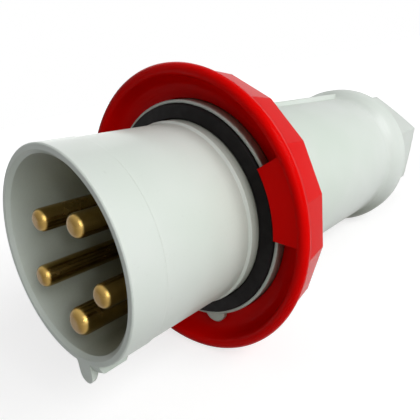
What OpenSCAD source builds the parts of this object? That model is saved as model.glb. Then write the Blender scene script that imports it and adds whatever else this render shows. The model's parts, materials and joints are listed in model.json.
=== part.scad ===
// Industrial pin and sleeve plug, five poles, with a bayonet locking ring and a hexagon gland nut.
// Every piece is drawn round the Z axis, mouth at z = 0 and cable end upwards, with +X towards the key.
// lie() then lays it down as it rests, on the rim of its ring and the edge of its rear collar. Millimetres.

/* [Sleeve] */
// Outer diameter of the sleeve
sleeve_d = 72; // [70:0.5:74]
// Inner diameter of the sleeve at its mouth
mouth_d = 66; // [65:0.5:67]
// Length of the sleeve, from its mouth to the face of the gasket
sleeve_len = 55; // [52:0.5:58]
// Length of the slightly thicker band at the mouth
band_len = 12.5; // [8:0.5:18]
// Depth of the mouth, down to the ledge round its floor
mouth_depth = 46; // [42:0.5:48]

/* [Key] */
// Height of the key's fin above the sleeve
fin_height = 7.6; // [5:0.2:9]
// Width of the fin
fin_width = 7.2; // [6:0.2:8]
// Height of the low ridge behind the fin
ridge_height = 3.2; // [2:0.1:4]
// Width of the ridge
ridge_width = 11; // [8:0.5:12]

/* [Contacts] */
// Diameter of the four live pins
live_d = 8; // [7:0.5:8.5]
// Diameter of the earth pin
earth_d = 10; // [9:0.5:10.5]
// Diameter of the circle through the pins
pitch_d = 37.4; // [36:0.2:38]
// Drop of that circle towards the key
pitch_drop = 4; // [0:0.1:4.2]
// Depth of the pins' tips below the mouth
tip_depth = 0.5; // [0.3:0.1:3]

/* [Gasket and flange] */
// Outer diameter of the gasket
gasket_d = 85.6; // [84:0.2:86]
// Diameter of the flange round the gasket
flange_d = 88.4; // [88:0.2:89]

/* [Locking ring] */
// Diameter of the ring's round rim
rim_d = 115; // [112:0.5:118]
// Distance from the mouth to the front of the rim
rim_z = 51.5; // [50:0.5:52]
// Number of flat facets on the ring's grip
facets = 18; // [16:1:20]
// Turn of the facets round the ring, in degrees
facet_phase = 3.3; // [0:0.1:20]
// Turn of the ring between its open and locked stops, in degrees
ring_turn = 45; // [30:1:50]

/* [Rear housing] */
// Diameter of the housing behind the ring
housing_front_d = 72.8; // [72:0.2:74]
// Diameter of the housing just in front of its collar
housing_rear_d = 71.6; // [70:0.2:72.4]
// Distance from the mouth to where the housing swells into its collar
collar_z = 183; // [175:1:190]
// Length of the collar
collar_len = 18; // [16:1:24]
// Diameter of the collar
collar_d = 80.4; // [78:0.2:82]

/* [Gland] */
// Width of the gland nut across its flats
nut_af = 57.2; // [55:0.2:58]
// Length of the gland nut
nut_len = 42; // [38:0.2:44]
// Turn of the nut's hexagon, in degrees
nut_phase = 13.6; // [0:0.2:59.8]
// Diameter of the cable opening
cable_d = 31; // [26:0.5:31]

/* [Hidden] */

$fn = 96;
eps = 0.01;
fit = 0.1;

// Radii and places along the axis, front to back
sleeve_r = sleeve_d / 2;
mouth_r = mouth_d / 2;
floor_r = mouth_r - 0.4;
band_r = sleeve_r + 0.35;
bead_r = sleeve_r + 0.9;
gasket_r = gasket_d / 2;
flange_r = flange_d / 2;
flange_z = sleeve_len + 1.3;
gasket_seat_z = sleeve_len + 4;
flange_back_z = flange_z + 5.7;
ledge_r = 29;
carrier_r = 31;
carrier_z = mouth_depth + 2;
lug_angle = -10.5;
lug_r = 5.2;
hub_r = 37.5;
hub_back_z = 68.4;
tail_r = 34.4;
tail_back_z = 84;

// Turn of the fin and of the ridge from the bottom, in degrees
fin_angle = -2.2;
ridge_angle = -8;

// Pins and their terminals: [pin radius, barrel radius, wire bore radius]
live = [live_d / 2, 6.4, 4.6];
earth = [earth_d / 2, 6.4, 4.6];
places = [for (i = [0 : 4]) i * 72];
pocket_z = 60;
barrel_back_z = 104;
terminal_z = [92, 99];
wire_end_z = 86.5;
screw_len = 3;
plate_z = 82.1;
plate_back_z = 86.1;
retainer_angles = [36, 180, 324];

// Ring
rim_r = rim_d / 2;
rim_edge = 2.2;
grip_front_r = rim_r - 0.9;
grip_back_r = rim_r - 3;
grip_z = rim_z + 4.2;
ring_back_z = 69.5;
dish_z = 60.3;
wall_lean = 15;
dish_edge = 6;
tab_span = 32;
tab_angle = 262;
stop_half = 6;

// Rear housing, collar and gland
housing_inner_r = 33.9;
spigot_r = 24.5;
spigot_bore_r = 20.6;
collar_r = collar_d / 2;
collar_edge = 6;
collar_back_z = collar_z + collar_len;
spigot_back_z = collar_back_z + 21.5;
seal_z = collar_z + 11;
washer_z = seal_z + 14.2;
cage_z = washer_z + 2.2;
cable_r = cable_d / 2;
nut_z = collar_back_z + 0.8;
nut_back_z = nut_z + nut_len;
nut_face_r = nut_af / 2 - 0.8;

// Pose at rest: the tangent line under the rim and the collar sets the lean and the height
rim_edge_z = rim_z + rim_edge;
collar_edge_z = collar_back_z - collar_edge;
drop_r = (rim_r - rim_edge) - (collar_r - collar_edge);
run_z = collar_edge_z - rim_edge_z;
lean = atan2(drop_r, run_z) - asin((collar_edge - rim_edge) / norm([drop_r, run_z]));
lift = (rim_r - rim_edge) * cos(lean) + rim_edge_z * sin(lean) + rim_edge;
front_reach = -(sleeve_r + fin_height) * sin(lean);
back_reach = nut_back_z * cos(lean) + nut_face_r * sin(lean);
slide = -(front_reach + back_reach) / 2;

// Colours
shell_colour = [0.80, 0.84, 0.82];
ring_colour = [0.80, 0.03, 0.02];
brass_colour = [0.78, 0.60, 0.26];
steel_colour = [0.70, 0.71, 0.72];
insert_colour = [0.16, 0.16, 0.17];
rubber_colour = [0.06, 0.06, 0.07];
nylon_colour = [0.90, 0.89, 0.84];

// Lays a piece down from the upright drawing pose
module lie() {
    translate([slide, 0, lift]) rotate([0, 90 + lean, 0]) children();
}

// Puts a child at a pin's place on the pitch circle
module at_pin(angle) {
    translate([pitch_drop, 0, 0]) rotate([0, 0, angle]) translate([pitch_d / 2, 0, 0]) children();
}

// Points of an arc, centre [r, z], from angle a0 to a1
function arc(r, z, radius, a0, a1, steps = 6) =
    [for (i = [0 : steps]) [r + radius * cos(a0 + (a1 - a0) * i / steps),
                            z + radius * sin(a0 + (a1 - a0) * i / steps)]];

// Plain ring between two radii
module tube(inner, outer, z0, z1) {
    rotate_extrude() translate([inner, z0]) square([outer - inner, z1 - z0]);
}

// Screw along +Z with its head's seat at z = 0, shank below
module screw(shank_r, shank_len, head_r, head_h, slot_w) {
    difference() {
        union() {
            translate([0, 0, -shank_len]) cylinder(r = shank_r, h = shank_len + eps, $fn = 32);
            rotate_extrude($fn = 40) polygon([[0, 0], [head_r, 0], [head_r, head_h * 0.7],
                [head_r - head_h * 0.3, head_h], [0, head_h]]);
        }
        translate([-head_r, -slot_w / 2, head_h * 0.55]) cube([2 * head_r, slot_w, head_h]);
    }
}

module shell_profile() {
    polygon([
        [band_r - 0.4, 0], [band_r, 0.4], [band_r, band_len], [sleeve_r, band_len + 0.3],
        [sleeve_r, sleeve_len - 4.4], [bead_r, sleeve_len - 3.6], [bead_r, gasket_seat_z],
        [gasket_r + 0.2, gasket_seat_z], [gasket_r + 0.2, flange_z], [flange_r - 0.3, flange_z],
        [flange_r, flange_z + 0.3], [flange_r, flange_back_z], [hub_r, flange_back_z],
        [hub_r, hub_back_z], [tail_r, hub_back_z], [tail_r, 74.3], [tail_r - 1.8, 74.3],
        [tail_r - 1.8, 76.7], [tail_r, 76.7], [tail_r, tail_back_z - 0.6], [tail_r - 0.6, tail_back_z],
        [carrier_r, tail_back_z], [carrier_r, carrier_z], [ledge_r, carrier_z], [ledge_r, mouth_depth],
        [floor_r, mouth_depth], [mouth_r, 1.3], [mouth_r + 1.3, 0]
    ]);
}

// Round-ended fin at the mouth, and the low ridge that runs back from it to one side
module key() {
    ridge_r = sleeve_r + ridge_height;
    ridge_back_z = band_len + 0.8;
    fin_tip = sleeve_r + fin_height;
    fin_half = fin_width / 2;
    // Ridge with a round back end and sloping ends
    rotate([0, 0, ridge_angle]) intersection() {
        translate([sleeve_r - 2, 0, 0]) rotate([90, 0, 90]) linear_extrude(height = ridge_height + 3)
            polygon([[-ridge_width / 2, 0.2], [ridge_width / 2, 0.2], [ridge_width / 2, ridge_back_z - 3],
            [ridge_width / 2 - 1, ridge_back_z - 1], [ridge_width / 2 - 2.8, ridge_back_z],
            [2.8 - ridge_width / 2, ridge_back_z], [1 - ridge_width / 2, ridge_back_z - 1],
            [-ridge_width / 2, ridge_back_z - 3]
        ]);
        rotate_extrude() polygon([
            [sleeve_r - 2, 0.2], [sleeve_r + 0.3, 0.2], [ridge_r - 0.4, 1.1], [ridge_r, 1.7],
            [ridge_r, ridge_back_z - 3.2], [ridge_r - 0.9, ridge_back_z - 1.6],
            [sleeve_r + 0.3, ridge_back_z], [sleeve_r - 2, ridge_back_z]
        ]);
    }
    // Fin, thinner at its tip and flared at its root
    rotate([0, 0, fin_angle]) intersection() {
        linear_extrude(height = 5) polygon(concat(
            [[sleeve_r - 1.5, -fin_half - 0.8], [sleeve_r + 0.6, -fin_half - 0.1]],
            [for (i = [0 : 9]) [fin_tip - 3 + 3 * sin(i * 20), -(fin_half - 0.1) * cos(i * 20)]],
            [[sleeve_r + 0.6, fin_half + 0.1], [sleeve_r - 1.5, fin_half + 0.8]]));
        rotate([90, 0, 0]) translate([0, 0, -7]) linear_extrude(height = 14) polygon([
            [sleeve_r - 2, 0], [fin_tip, 0], [fin_tip, 0.8], [fin_tip - 1, 1.4], [ridge_r + 1.2, 2.4],
            [ridge_r - 0.6, 3.2], [sleeve_r - 2, 3.6]]);
    }
}

// Sleeve, flange, hub for the ring and tail for the housing, moulded in one
module front_shell() lie() color(shell_colour) {
    difference() {
        union() {
            rotate_extrude() shell_profile();
            key();
            // Round index lug on the flange's edge
            rotate([0, 0, lug_angle]) intersection() {
                translate([flange_r - 1.4, 0, flange_z + 0.4]) union() {
                    cylinder(r1 = lug_r - 0.6, r2 = lug_r, h = 0.6, $fn = 48);
                    translate([0, 0, 0.6]) cylinder(r = lug_r, h = 2, $fn = 48);
                }
                tube(flange_r - 1, flange_r + 5, flange_z, flange_z + 5);
            }
            // Stop that runs in the ring's bore
            rotate([0, 0, 180]) intersection() {
                rotate([0, 0, -stop_half]) rotate_extrude(angle = 2 * stop_half)
                    translate([hub_r - 1, flange_back_z - 1]) square([3.2, hub_back_z - flange_back_z + 1]);
                tube(hub_r - 1, hub_r + 2.2, flange_back_z - 1, hub_back_z);
            }
        }
        // Holes for the housing's lock screws
        for (side = [90, 270]) rotate([0, 0, side]) translate([carrier_r - 1, 0, 71.6]) rotate([0, 90, 0])
            cylinder(r = 2, h = 5, $fn = 32);
    }
}

// Moulded insert that carries the pins
module contact_carrier() lie() color(insert_colour) difference() {
    rotate_extrude() polygon([[0, carrier_z], [carrier_r - fit, carrier_z], [carrier_r - fit, plate_z - 0.1],
        [0, plate_z - 0.1]]);
    for (a = places) at_pin(a) {
        translate([0, 0, carrier_z - 1]) cylinder(r = (a == 0 ? earth[0] : live[0]) + 0.3, h = 14);
        translate([0, 0, pocket_z]) cylinder(r = (a == 0 ? earth[1] : live[1]) + 0.9, h = 24);
    }
    for (a = retainer_angles) retainer_place(a) translate([0, 0, 64]) cylinder(r = 1.95, h = 20, $fn = 32);
    // Shallow round recess in the middle of the floor
    translate([pitch_drop, 0, carrier_z - 1]) cylinder(r = 8, h = 1.8);
}

module retainer_place(angle) {
    translate([pitch_drop, 0, 0]) rotate([0, 0, angle]) translate([23, 0, 0]) children();
}

// Turned contact pin: rounded tip, shaft, shoulder, and a drilled barrel for the wire
module pin(angle, sizes) {
    shaft_r = sizes[0];
    barrel_r = sizes[1];
    wire_r = sizes[2];
    nose = shaft_r * 0.62;
    lie() color(brass_colour) at_pin(angle) difference() {
        rotate_extrude($fn = 64) polygon(concat(
            [[0, tip_depth]],
            arc(shaft_r - nose, tip_depth + nose, nose, -90, 0),
            [[shaft_r, carrier_z - 0.1], [shaft_r + 0.25, carrier_z - 0.1], [shaft_r + 0.25, pocket_z + 0.1],
             [barrel_r + 0.7, pocket_z + 0.1], [barrel_r + 0.7, plate_z - 1],
             [barrel_r, plate_z - 0.6], [barrel_r, barrel_back_z - 0.6], [barrel_r - 0.6, barrel_back_z],
             [wire_r + 0.5, barrel_back_z], [wire_r, barrel_back_z - 0.5], [wire_r, wire_end_z],
             [0, wire_end_z - 2]]));
        for (z = terminal_z) translate([0, 0, z]) rotate([0, 90, 0]) cylinder(r = 2.45, h = 12, $fn = 32);
    }
}

module pin_earth() pin(places[0], earth);
module pin_l1() pin(places[1], live);
module pin_l2() pin(places[2], live);
module pin_l3() pin(places[3], live);
module pin_neutral() pin(places[4], live);

// Screws backed out to the barrel's inner wall, as they stand with no wire in the terminal
module terminal_pair(angle, sizes) {
    backed_out = sizes[2] + 0.4;
    for (z = terminal_z) at_pin(angle) translate([backed_out + screw_len, 0, z]) rotate([0, 90, 0])
        screw(2.4, screw_len, 2.9, 1.8, 0.9);
}

module live_terminal_screws() lie() color(steel_colour)
    for (i = [1 : 4]) terminal_pair(places[i], live);

module earth_terminal_screws() lie() color(steel_colour) terminal_pair(places[0], earth);

// Stepped plate that holds the barrels in the carrier
module retainer_plate() lie() color(insert_colour) difference() {
    rotate_extrude() polygon([[0, plate_z], [carrier_r - fit, plate_z], [carrier_r - fit, tail_back_z + 0.05],
        [tail_r - 0.6, tail_back_z + 0.05], [tail_r - 0.6, plate_back_z], [0, plate_back_z]]);
    for (a = places) at_pin(a) translate([0, 0, plate_z - 1])
        cylinder(r = (a == 0 ? earth[1] : live[1]) + 0.15, h = 6);
    for (a = retainer_angles) retainer_place(a) translate([0, 0, plate_z - 1])
        cylinder(r = 2.15, h = 6, $fn = 32);
}

module retainer_screws() lie() color(steel_colour)
    for (a = retainer_angles) retainer_place(a) translate([0, 0, plate_back_z + 0.02])
        screw(1.9, 18, 3.2, 2.4, 0.9);

// Flat rubber ring in the flange's seat
module sealing_gasket() lie() color(rubber_colour) rotate_extrude() polygon([
    [bead_r + fit, gasket_seat_z - 0.05], [bead_r + fit, sleeve_len + 0.5], [bead_r + 0.6, sleeve_len],
    [gasket_r - 0.5, sleeve_len], [gasket_r, sleeve_len + 0.5], [gasket_r, gasket_seat_z - 0.05]]);

// Bayonet tab: a ledge across the dish with a ramp on its back
module bayonet_tab() {
    difference() {
        rotate([0, 0, -tab_span / 2]) rotate_extrude(angle = tab_span)
            polygon([[flange_r + 0.4, rim_z + 1], [rim_r - 3.2, rim_z + 0.4], [rim_r - 3.6, rim_z + 6],
                [flange_r + 0.4, rim_z + 4.6]]);
        translate([flange_r - 6, 0, rim_z + 3.2]) rotate([4.5, 0, 0]) translate([0, -25, 0])
            cube([20, 50, 12]);
    }
}

// Half section of the ring: its rim rolls over into a wall that leans in and rounds into the dish's floor
module ring_profile() {
    edge_r = rim_r - rim_edge;
    wall_top = [edge_r - rim_edge * cos(wall_lean), rim_edge_z - rim_edge * sin(wall_lean)];
    bowl_z = dish_z - dish_edge;
    wall_drop = bowl_z + dish_edge * sin(wall_lean) - wall_top[1];
    bowl_r = wall_top[0] - wall_drop * tan(wall_lean) - dish_edge * cos(wall_lean);
    polygon(concat(
        arc(edge_r, rim_edge_z, rim_edge, 45, wall_lean - 180, 13),
        arc(bowl_r, bowl_z, dish_edge, wall_lean, 90, 8),
        [[flange_r + 0.4, dish_z], [flange_r + 0.4, flange_back_z + 0.4],
         [hub_r + 0.06, flange_back_z + 0.4], [hub_r + 0.06, hub_back_z - 0.6], [46, hub_back_z - 0.6],
         [49.4, ring_back_z - 3.4], [50.2, ring_back_z], [rim_r - rim_edge * (1 - cos(45)), ring_back_z]]));
}

// Red locking ring: round rim, dish with two tabs, faceted grip
module locking_ring() lie() color(ring_colour) {
    facet_lean = atan2((grip_front_r - grip_back_r) * cos(180 / facets), ring_back_z - grip_z);
    difference() {
        union() {
            rotate_extrude() ring_profile();
            for (side = [0, 180]) rotate([0, 0, tab_angle + side]) bayonet_tab();
        }
        for (i = [0 : facets - 1]) rotate([0, 0, facet_phase + (i + 0.5) * 360 / facets])
            translate([grip_front_r * cos(180 / facets), -15, grip_z]) rotate([0, -facet_lean, 0])
                cube([10, 30, 20]);
        // Arc slot in the bore for the stop on the hub
        rotate([0, 0, 180 - stop_half - 0.4]) rotate_extrude(angle = ring_turn + 2 * stop_half + 0.8)
            translate([hub_r - 1, flange_back_z - 1]) square([3.6, 10]);
    }
}

// Round-section ring in the tail's groove
module housing_seal() lie() color(rubber_colour)
    rotate_extrude() translate([tail_r - 0.9, 75.5]) circle(r = 0.86, $fn = 32);

// Half section of the housing, which swells into its collar through a tight hollow and a wide round
module housing_profile() {
    rear_r = housing_rear_d / 2;
    hollow = 4;
    round = 10;
    swell = acos(1 - (collar_r - rear_r) / (hollow + round));
    polygon(concat(
        [[tail_r + fit, hub_back_z], [41.2, hub_back_z], [42, hub_back_z + 0.8], [42, 75],
         [40, 77], [38.2, 80], [37.1, 84], [housing_front_d / 2 + 0.2, 90], [housing_front_d / 2, 100]],
        arc(rear_r + hollow, collar_z - hollow * sin(swell), hollow, 180, 180 - swell, 4),
        arc(collar_r - round, collar_z + round * sin(swell), round, -swell, 0, 6),
        arc(collar_r - collar_edge, collar_edge_z, collar_edge, 0, 90, 8),
        [[spigot_r, collar_back_z], [spigot_r, spigot_back_z - 1], [spigot_r - 1, spigot_back_z],
         [spigot_bore_r, spigot_back_z], [spigot_bore_r, seal_z], [cable_r + 1, seal_z - 3],
         [cable_r + 1, seal_z - 6], [housing_inner_r - 2, seal_z - 20], [housing_inner_r, seal_z - 26],
         [housing_inner_r, plate_back_z + 0.1], [tail_r + fit, plate_back_z + 0.1]]));
}

// Hollow rear housing with its top rib, collar and threaded spigot
module rear_housing() lie() color(shell_colour) difference() {
    union() {
        rotate_extrude() housing_profile();
        // Low rib along the top, from the front flare to the collar
        rib_h = housing_front_d / 2 + 1.5;
        rib_back_z = collar_z + 4;
        intersection() {
            translate([0, 0, 82]) linear_extrude(height = rib_back_z - 82) polygon([
                [-34.5, -7], [-rib_h + 0.4, -6], [-rib_h, -5.4],
                [-rib_h, 5.4], [-rib_h + 0.4, 6], [-34.5, 7]]);
            rotate_extrude() polygon([[34.2, 82], [36.6, 82], [rib_h + 0.4, 88], [rib_h + 0.4, rib_back_z],
                [34.2, rib_back_z]]);
        }
    }
    for (side = [90, 270]) rotate([0, 0, side]) translate([30, 0, 71.6]) rotate([0, 90, 0]) {
        cylinder(r = 2.15, h = 14, $fn = 32);
        translate([0, 0, 9.2]) cylinder(r = 3.6, h = 5, $fn = 32);
    }
}

module housing_lock_screws() lie() color(steel_colour)
    for (side = [90, 270]) rotate([0, 0, side]) translate([39.22, 0, 71.6]) rotate([0, 90, 0])
        screw(1.9, 7.6, 3.3, 2.2, 0.9);

// Rubber grommet with sealing lips round the cable
module gland_seal() lie() color(rubber_colour) rotate_extrude() polygon(concat(
    [[spigot_bore_r - 0.2, seal_z + 0.1], [spigot_bore_r - 0.2, washer_z - 0.1],
     [cable_r + 0.6, washer_z - 0.1]],
    [for (i = [3 : -1 : 0]) each [[cable_r + 1.1, seal_z + 3.4 * i + 1.7],
                                  [cable_r + 0.3, seal_z + 3.4 * i + 0.7]]],
    [[cable_r + 0.6, seal_z + 0.1]]));

module thrust_washer() lie() color(nylon_colour)
    tube(cable_r + 0.5, spigot_bore_r - 0.3, washer_z, washer_z + 2);

// Slotted cage that the nut's cone closes on the cable
module clamp_cage() lie() color(nylon_colour) difference() {
    rotate_extrude() polygon([
        [cable_r + 0.9, cage_z], [spigot_bore_r - 0.3, cage_z], [spigot_bore_r - 0.3, spigot_back_z + 0.6],
        [18.3, nut_back_z - 7.4], [cable_r + 0.3, nut_back_z - 7.4], [cable_r + 0.3, nut_back_z - 9.5],
        [cable_r + 0.9, nut_back_z - 11]]);
    for (i = [0 : 5]) rotate([0, 0, i * 30]) translate([-25, -1, cage_z + 5]) cube([50, 2, 30]);
}

// Hexagon gland nut: thread bore, closing cone and cable mouth
module gland_nut() lie() color(shell_colour) rotate([0, 0, nut_phase]) {
    corner_r = nut_af / 2 / cos(30);
    cone_z = spigot_back_z + 1.2;
    difference() {
        intersection() {
            translate([0, 0, nut_z]) cylinder(r = corner_r, h = nut_len, $fn = 6);
            rotate_extrude() polygon([[0, nut_z], [corner_r - 1.2, nut_z], [corner_r + 1, nut_z + 1.2],
                [corner_r + 1, nut_back_z - 1.9], [nut_face_r, nut_back_z], [0, nut_back_z]]);
        }
        rotate_extrude() polygon([[0, nut_z - 1], [spigot_r + 0.07, nut_z - 1], [spigot_r + 0.07, cone_z],
            [21.4, cone_z], [19, nut_back_z - 6.6], [cable_r, nut_back_z - 6.6], [cable_r, nut_back_z - 1.2],
            [cable_r + 1.2, nut_back_z + eps], [cable_r + 1.2, nut_back_z + 1], [0, nut_back_z + 1]]);
    }
}

front_shell();
contact_carrier();
pin_l1();
pin_l2();
pin_l3();
pin_neutral();
pin_earth();
live_terminal_screws();
earth_terminal_screws();
retainer_plate();
retainer_screws();
sealing_gasket();
locking_ring();
housing_seal();
rear_housing();
housing_lock_screws();
gland_seal();
thrust_washer();
clamp_cage();
gland_nut();
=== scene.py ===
"""Looks of the industrial pin and sleeve plug: finishes for its moulded, turned, plated and rubber pieces,
a pale floor, soft studio light and the camera. Everything is in metres, in the part's own frame: the plug
lies on the floor at Z = 0, with its mouth towards -X."""

import math

import bpy
from mathutils import Matrix, Vector
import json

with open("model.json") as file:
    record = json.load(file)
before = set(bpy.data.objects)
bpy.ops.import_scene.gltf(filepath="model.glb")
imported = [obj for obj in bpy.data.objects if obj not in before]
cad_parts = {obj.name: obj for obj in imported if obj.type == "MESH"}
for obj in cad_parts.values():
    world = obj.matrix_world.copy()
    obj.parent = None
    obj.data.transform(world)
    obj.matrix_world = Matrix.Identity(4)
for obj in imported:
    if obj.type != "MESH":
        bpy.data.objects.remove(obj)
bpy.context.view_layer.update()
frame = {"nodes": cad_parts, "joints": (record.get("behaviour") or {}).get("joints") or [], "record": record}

MM = 0.001
MICRON = 0.000001

# The plug's own axis, from the mouth to the cable end, as the ring's hinge gives it
RING_HINGE = next(j for j in frame["joints"] if j["name"] == "ring_turn")
PLUG_AXIS = Vector(RING_HINGE["axis"]).normalized()
AXIS_POINT = Vector(RING_HINGE["pos_m"])
NOSE_LIFT = math.atan2(-PLUG_AXIS.z, PLUG_AXIS.x)

# Finishes, as linear colours
SHELL = (0.60, 0.675, 0.605)
GLAND = (0.62, 0.66, 0.62)
PALE_DRIFT = (0.675, 0.72, 0.68)
PALE_RUBBED = tuple(min(1.0, 1.25 * level) for level in PALE_DRIFT)
# Grey of the dark specks, also laid into corners and gaps by occlusion as painted shade
SPECKS_AND_CORNER_SHADE = (0.38, 0.41, 0.36)
# Painted shade deep in the mouth, a warm olive brown
MOUTH_PAINTED_SHADE = (0.12, 0.125, 0.065)
RED = (0.70, 0.0012, 0.0007)
RED_DEEP = (0.62, 0.001, 0.0006)
RED_RUBBED = (0.78, 0.04, 0.03)
BRASS = (0.52, 0.345, 0.105)
BRASS_TARNISH = (0.18, 0.10, 0.022)
# Painted dark reflection on the pin faces that point out of the mouth
BRASS_END_PAINTED_DARK = (0.15, 0.088, 0.024)
RUBBER = (0.006, 0.005, 0.005)
RUBBER_BLOOM = (0.045, 0.042, 0.04)
INSERT = (0.028, 0.028, 0.026)
INSERT_FLECKS = (0.10, 0.10, 0.095)
ZINC = (0.56, 0.57, 0.58)
ZINC_CLOUD = (0.44, 0.43, 0.36)
NYLON = (0.70, 0.68, 0.60)
NYLON_CLOUD = (0.78, 0.76, 0.70)
PLASTIC_IOR = 1.5

# How alike a face's normal and the rounded one are, from open face to sharp edge
EDGE_DOTS = (0.995, 0.80)
# How open the surroundings of a point are, from open face to deep corner
CORNER_OPENNESS = (0.75, 0.15)
# Painted shade: corners and gaps, and the depth of the mouth, are darkened by how closed in they are
CORNER_REACH = 3 * MM
CORNER_SHADE_AMOUNT = 0.35
MOUTH_REACH = 32 * MM
MOUTH_SHADE_AMOUNT = 0.80
SHADER_SAMPLES = 6
# The part of a noise's range over which a cloud fades in
FADE = (0.35, 0.65)
WIDE_FADE = (0.3, 0.7)

# Floor and surroundings
FLOOR = (0.48, 0.48, 0.48)
FLOOR_REACH = 3.0
WHITE = (1.0, 1.0, 1.0)
GLOW_FROM_MIDDLE = (0.15, 0.70)
GLOW_LEVELS = (0.70, 1.0)
WORLD_LIGHT = 0.08

LAMPS_AIM_AT = Vector((0.05, 0.0, 0.05))

# Camera
CAMERA_AT = Vector((-0.17250, -0.12219, 0.10924))
CAMERA_AIM = Vector((-0.05093, -0.00094, 0.05239))
CAMERA_ROLL = math.radians(-12.7363)
LENS_MM = 36.28
SENSOR_MM = 36.0
NEAREST_SEEN = 10 * MM


def rgba(colour):
    return (*colour, 1.0)


class Nodes:
    """A new material, with short names for the shader nodes that the finishes are built from."""

    SOCKETS = {
        "colour": "Base Color", "rough": "Roughness", "metal": "Metallic", "coat": "Coat Weight",
        "coat_rough": "Coat Roughness", "ior": "IOR", "specular": "Specular IOR Level",
        "anisotropic": "Anisotropic",
    }

    def __init__(self, name):
        self.material = bpy.data.materials.new(name)
        self.material.use_nodes = True
        self.tree = self.material.node_tree
        self.shader = self.tree.nodes["Principled BSDF"]
        self.place = self.new("ShaderNodeTexCoord").outputs["Object"]

    def new(self, kind, **settings):
        node = self.tree.nodes.new(kind)
        for key, value in settings.items():
            setattr(node, key, value)
        return node

    def link(self, out, into):
        self.tree.links.new(out, into)

    def axial(self):
        """Object coordinates turned so that Z runs along the plug's own axis."""
        turn = self.new("ShaderNodeMapping", vector_type="TEXTURE")
        turn.inputs["Location"].default_value = AXIS_POINT
        turn.inputs["Rotation"].default_value = (0.0, math.pi / 2 + NOSE_LIFT, 0.0)
        self.link(self.place, turn.inputs["Vector"])
        return turn.outputs["Vector"]

    def noise(self, per_metre, detail=4.0, rough=0.55, vector=None, crowding=None):
        """Noise from 0 to 1. Crowding multiplies its cells to the metre along each axis of vector."""
        vector = vector or self.place
        if crowding:
            squeeze = self.new("ShaderNodeMapping")
            squeeze.inputs["Scale"].default_value = crowding
            self.link(vector, squeeze.inputs["Vector"])
            vector = squeeze.outputs["Vector"]
        node = self.new("ShaderNodeTexNoise")
        node.inputs["Scale"].default_value = per_metre
        node.inputs["Detail"].default_value = detail
        node.inputs["Roughness"].default_value = rough
        self.link(vector, node.inputs["Vector"])
        return node.outputs["Fac"]

    def remap(self, value, over, gives):
        """gives[0] up to over[0], gives[1] from over[1] on, and an even passage between."""
        node = self.new("ShaderNodeMapRange")
        node.inputs["From Min"].default_value = over[0]
        node.inputs["From Max"].default_value = over[1]
        node.inputs["To Min"].default_value = gives[0]
        node.inputs["To Max"].default_value = gives[1]
        self.link(value, node.inputs["Value"])
        return node.outputs["Result"]

    def clouds(self, per_metre, over, gives, **texture):
        """Noise in patches, remapped over a part of its range."""
        return self.remap(self.noise(per_metre, **texture), over, gives)

    def mix(self, factor, one, two):
        node = self.new("ShaderNodeMix", data_type="RGBA")
        self.link(factor, node.inputs["Factor"])
        for colour, socket in ((one, node.inputs["A"]), (two, node.inputs["B"])):
            if isinstance(colour, tuple):
                socket.default_value = rgba(colour)
            else:
                self.link(colour, socket)
        return node.outputs["Result"]

    def times(self, one, two):
        node = self.new("ShaderNodeMath", operation="MULTIPLY")
        self.link(one, node.inputs[0])
        if isinstance(two, float):
            node.inputs[1].default_value = two
        else:
            self.link(two, node.inputs[1])
        return node.outputs["Value"]

    def dot(self, one, two):
        node = self.new("ShaderNodeVectorMath", operation="DOT_PRODUCT")
        self.link(one, node.inputs[0])
        if isinstance(two, Vector):
            node.inputs[1].default_value = two
        else:
            self.link(two, node.inputs[1])
        return node.outputs["Value"]

    def rounded(self, radius):
        """The normal of a surface whose sharp edges are rounded."""
        bevel = self.new("ShaderNodeBevel", samples=SHADER_SAMPLES)
        bevel.inputs["Radius"].default_value = radius
        return bevel.outputs["Normal"]

    def edges(self, soft):
        """1 on sharp edges and 0 on open faces, going by the rounded normal."""
        flat = self.new("ShaderNodeNewGeometry").outputs["Normal"]
        return self.remap(self.dot(soft, flat), over=EDGE_DOTS, gives=(0.0, 1.0))

    def corners(self, distance):
        """1 deep in corners and gaps, 0 in the open."""
        shade = self.new("ShaderNodeAmbientOcclusion", samples=SHADER_SAMPLES)
        shade.inputs["Distance"].default_value = distance
        return self.remap(shade.outputs["AO"], over=CORNER_OPENNESS, gives=(0.0, 1.0))

    def bumps(self, normal, *layers):
        """Each layer is a height from 0 to 1 and the depth in metres that it stands for."""
        for height, depth in layers:
            bump = self.new("ShaderNodeBump")
            bump.inputs["Strength"].default_value = 1.0
            bump.inputs["Distance"].default_value = depth
            self.link(height, bump.inputs["Height"])
            self.link(normal, bump.inputs["Normal"])
            normal = bump.outputs["Normal"]
        self.link(normal, self.shader.inputs["Normal"])

    def set(self, **values):
        for key, value in values.items():
            socket = self.shader.inputs[self.SOCKETS[key]]
            if isinstance(value, tuple):
                socket.default_value = rgba(value)
            elif isinstance(value, float):
                socket.default_value = value
            else:
                self.link(value, socket)


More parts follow.
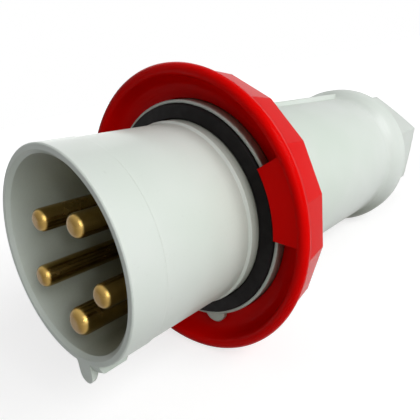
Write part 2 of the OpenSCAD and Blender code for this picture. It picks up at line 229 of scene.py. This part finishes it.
def moulded(name, base, gloss, coat):
    """Moulded polyamide: slow drift of tone, dark specks, painted shade in corners and gaps, a darker warm
    olive painted shade deep in the mouth, paler rubbed edges, and a fine orange peel over shallow sink
    marks."""
    n = Nodes(name)
    soft = n.rounded(0.5 * MM)
    drift = n.clouds(14.0, over=FADE, gives=(0.0, 1.0), detail=3.0)
    specks = n.clouds(900.0, over=(0.66, 0.78), gives=(0.0, 0.16), detail=2.0, rough=0.7)
    rubbing = n.clouds(160.0, over=(0.42, 0.60), gives=(0.0, 0.5))
    colour = n.mix(drift, base, PALE_DRIFT)
    colour = n.mix(specks, colour, SPECKS_AND_CORNER_SHADE)
    # Painted shade in corners and gaps
    colour = n.mix(n.times(n.corners(CORNER_REACH), CORNER_SHADE_AMOUNT), colour, SPECKS_AND_CORNER_SHADE)
    # Painted shade deep in the mouth
    colour = n.mix(n.times(n.corners(MOUTH_REACH), MOUTH_SHADE_AMOUNT), colour, MOUTH_PAINTED_SHADE)
    colour = n.mix(n.times(n.edges(soft), rubbing), colour, PALE_RUBBED)
    shine = n.clouds(60.0, over=WIDE_FADE, gives=gloss, detail=5.0)
    n.set(colour=colour, rough=shine, coat=coat, coat_rough=0.12, ior=PLASTIC_IOR, specular=0.25)
    peel = n.noise(420.0, detail=3.0, rough=0.5)
    sinks = n.noise(38.0, detail=2.0)
    n.bumps(soft, (peel, 12 * MICRON), (sinks, 120 * MICRON))
    return n.material


def glossy_red(name):
    """Smooth red moulding: deep even red that takes little of its white surroundings, paler rubbed
    edges, fine rubbing marks that run round the plug's axis, and a faint ripple."""
    n = Nodes(name)
    soft = n.rounded(0.6 * MM)
    drift = n.clouds(22.0, over=FADE, gives=(0.0, 0.6), detail=3.0)
    rubbing = n.clouds(240.0, over=(0.46, 0.62), gives=(0.0, 0.25))
    colour = n.mix(drift, RED, RED_DEEP)
    colour = n.mix(n.times(n.edges(soft), rubbing), colour, RED_RUBBED)
    marks = n.clouds(120.0, over=(0.35, 0.70), gives=(0.07, 0.16), detail=6.0, rough=0.65,
                     vector=n.axial(), crowding=(1.0, 1.0, 14.0))
    n.set(colour=colour, rough=marks, ior=PLASTIC_IOR, specular=0.02)
    grain = n.noise(300.0, detail=3.0)
    ripple = n.noise(45.0, detail=2.0)
    n.bumps(soft, (grain, 4 * MICRON), (ripple, 100 * MICRON))
    return n.material


def turned_brass(name):
    """Turned brass: lathe lines round the pin, brown tarnish in clouds that is rubbed off in streaks
    along the pin, and a painted dark reflection, a darker brown, on what faces out of the mouth."""
    n = Nodes(name)
    soft = n.rounded(1.6 * MM)
    axial = n.axial()
    tarnish = n.clouds(95.0, over=(0.38, 0.66), gives=(0.0, 0.60), detail=5.0, rough=0.6)
    streaks = n.clouds(260.0, over=(0.35, 0.6), gives=(1.0, 0.45), rough=0.6,
                       vector=axial, crowding=(1.0, 1.0, 0.12))
    # Painted dark reflection: faces that point out of the mouth are turned darker brown
    ends = n.remap(n.dot(soft, -PLUG_AXIS), over=(0.45, 0.92), gives=(0.0, 0.85))
    colour = n.mix(n.times(tarnish, streaks), BRASS, BRASS_TARNISH)
    colour = n.mix(ends, colour, BRASS_END_PAINTED_DARK)
    shine = n.clouds(140.0, over=WIDE_FADE, gives=(0.15, 0.30), detail=5.0)
    n.set(colour=colour, rough=shine, metal=1.0, anisotropic=0.35)
    lathe = n.noise(1500.0, detail=2.0, rough=0.5, vector=axial, crowding=(0.02, 0.02, 1.0))
    grain = n.noise(500.0, detail=3.0)
    n.bumps(soft, (lathe, 8 * MICRON), (grain, 4 * MICRON))
    return n.material


def black_rubber(name):
    """Moulded rubber: dull black with a dusting of pale bloom and a fine grain."""
    n = Nodes(name)
    bloom = n.clouds(120.0, over=(0.48, 0.75), gives=(0.0, 0.20), detail=6.0, rough=0.7)
    dullness = n.clouds(300.0, over=WIDE_FADE, gives=(0.48, 0.68))
    n.set(colour=n.mix(bloom, RUBBER, RUBBER_BLOOM), rough=dullness, specular=0.12)
    grain = n.noise(1600.0, detail=3.0, rough=0.6)
    swell = n.noise(90.0, detail=3.0)
    n.bumps(n.rounded(0.3 * MM), (grain, 20 * MICRON), (swell, 50 * MICRON))
    return n.material


def dark_insert(name):
    """Thermoset insert: near black with paler mineral flecks and a fine matt grain."""
    n = Nodes(name)
    flecks = n.clouds(1100.0, over=(0.62, 0.74), gives=(0.0, 0.45), detail=2.0, rough=0.7)
    dullness = n.clouds(200.0, over=WIDE_FADE, gives=(0.40, 0.56))
    n.set(colour=n.mix(flecks, INSERT, INSERT_FLECKS), rough=dullness)
    n.bumps(n.rounded(0.3 * MM), (n.noise(900.0, rough=0.6), 20 * MICRON))
    return n.material


def zinc_plate(name):
    """Zinc plated steel: cool sheen with cloudy passivation and a very fine grain."""
    n = Nodes(name)
    cloud = n.clouds(240.0, over=FADE, gives=(0.0, 0.6), detail=5.0)
    sheen = n.clouds(700.0, over=WIDE_FADE, gives=(0.26, 0.44))
    n.set(colour=n.mix(cloud, ZINC, ZINC_CLOUD), rough=sheen, metal=1.0)
    n.bumps(n.rounded(0.2 * MM), (n.noise(1800.0, detail=3.0), 6 * MICRON))
    return n.material


def natural_nylon(name):
    """Unpigmented nylon: milky, with soft flow clouds."""
    n = Nodes(name)
    cloud = n.clouds(70.0, over=FADE, gives=(0.0, 1.0))
    sheen = n.clouds(300.0, over=WIDE_FADE, gives=(0.34, 0.48))
    n.set(colour=n.mix(cloud, NYLON, NYLON_CLOUD), rough=sheen)
    n.bumps(n.rounded(0.3 * MM), (n.noise(700.0, detail=3.0), 10 * MICRON))
    return n.material


def finish_nodes():
    """Gives every CAD node the finish of its material slot."""
    finishes = {
        "shell": moulded("shell_polyamide", SHELL, gloss=(0.31, 0.43), coat=0.12),
        "gland": moulded("gland_polyamide", GLAND, gloss=(0.41, 0.53), coat=0.0),
        "ring": glossy_red("ring_polyamide"),
        "insert": dark_insert("insert_thermoset"),
        "pins": turned_brass("pin_brass"),
        "screws": zinc_plate("zinc_plate"),
        "seal": black_rubber("seal_rubber"),
        "nylon": natural_nylon("natural_nylon"),
    }
    slots = {part["node"]: part["material_slot"] for part in frame["record"]["subparts"]}
    for node, piece in frame["nodes"].items():
        piece.data.materials.clear()
        piece.data.materials.append(finishes[slots[node]])


def seen_rays(tree):
    """1 for what the camera, gloss and glass look at, and 0 for the light that falls on the plug."""
    rays = tree.nodes.new("ShaderNodeLightPath")
    seen = rays.outputs["Is Camera Ray"]
    for kind in ("Is Glossy Ray", "Is Transmission Ray"):
        either = tree.nodes.new("ShaderNodeMath")
        either.operation = "MAXIMUM"
        tree.links.new(seen, either.inputs[0])
        tree.links.new(rays.outputs[kind], either.inputs[1])
        seen = either.outputs["Value"]
    return seen


def white_floor_paint(name):
    """Pale paint that glows towards white away from the plug, for seen rays only, and takes its shadow."""
    n = Nodes(name)
    n.set(colour=FLOOR, rough=0.8, specular=0.1)
    from_middle = n.new("ShaderNodeVectorMath", operation="LENGTH")
    n.link(n.place, from_middle.inputs[0])
    level = n.remap(from_middle.outputs["Value"], over=GLOW_FROM_MIDDLE, gives=GLOW_LEVELS)
    glow = n.new("ShaderNodeEmission")
    n.link(n.times(seen_rays(n.tree), level), glow.inputs["Strength"])
    both = n.new("ShaderNodeAddShader")
    n.link(n.shader.outputs["BSDF"], both.inputs[0])
    n.link(glow.outputs["Emission"], both.inputs[1])
    n.link(both.outputs["Shader"], n.tree.nodes["Material Output"].inputs["Surface"])
    return n.material


def stage_floor():
    mesh = bpy.data.meshes.new("floor")
    signs = ((-1, -1), (1, -1), (1, 1), (-1, 1))
    mesh.from_pydata([(FLOOR_REACH * x, FLOOR_REACH * y, 0.0) for x, y in signs], [], [(0, 1, 2, 3)])
    mesh.materials.append(white_floor_paint("floor_paint"))
    floor = bpy.data.objects.new("floor", mesh)
    bpy.context.scene.collection.objects.link(floor)


def stage_world():
    """Surroundings that light the plug softly and show white to the camera, in gloss and in glass."""
    world = bpy.data.worlds.new("studio")
    bpy.context.scene.world = world
    world.use_nodes = True
    tree = world.node_tree
    back = tree.nodes["Background"]
    back.inputs["Color"].default_value = rgba(WHITE)
    strength = tree.nodes.new("ShaderNodeMapRange")
    strength.inputs["To Min"].default_value = WORLD_LIGHT
    strength.inputs["To Max"].default_value = 1.0
    tree.links.new(seen_rays(tree), strength.inputs["Value"])
    tree.links.new(strength.outputs["Result"], back.inputs["Strength"])


def lamp(name, at, width, watts):
    """A round softbox that faces the plug."""
    light = bpy.data.lights.new(name, "AREA")
    light.shape = "DISK"
    light.size = width
    light.energy = watts
    holder = bpy.data.objects.new(name, light)
    holder.location = at
    holder.rotation_euler = (LAMPS_AIM_AT - Vector(at)).to_track_quat("-Z", "Y").to_euler()
    bpy.context.scene.collection.objects.link(holder)


def stage_lamps():
    lamp("key_softbox", at=(0.05, -0.62, 0.45), width=0.40, watts=2.9)
    lamp("high_softbox", at=(-0.25, -0.75, 0.60), width=0.50, watts=1.9)
    lamp("low_softbox", at=(-0.35, -0.92, 0.26), width=0.60, watts=2.0)
    lamp("fill_softbox", at=(0.40, 0.70, 0.50), width=0.80, watts=1.6)
    lamp("glint", at=(-0.42, -0.80, 0.36), width=0.07, watts=0.45)


def stage_camera():
    data = bpy.data.cameras.new("camera")
    data.lens = LENS_MM
    data.sensor_width = SENSOR_MM
    data.clip_start = NEAREST_SEEN
    camera = bpy.data.objects.new("camera", data)
    level = (CAMERA_AIM - CAMERA_AT).to_track_quat("-Z", "Y").to_matrix().to_4x4()
    camera.matrix_world = Matrix.Translation(CAMERA_AT) @ level @ Matrix.Rotation(CAMERA_ROLL, 4, "Z")
    bpy.context.scene.collection.objects.link(camera)
    bpy.context.scene.camera = camera


finish_nodes()
stage_floor()
stage_world()
stage_lamps()
stage_camera()
bpy.context.scene.view_settings.view_transform = "Standard"
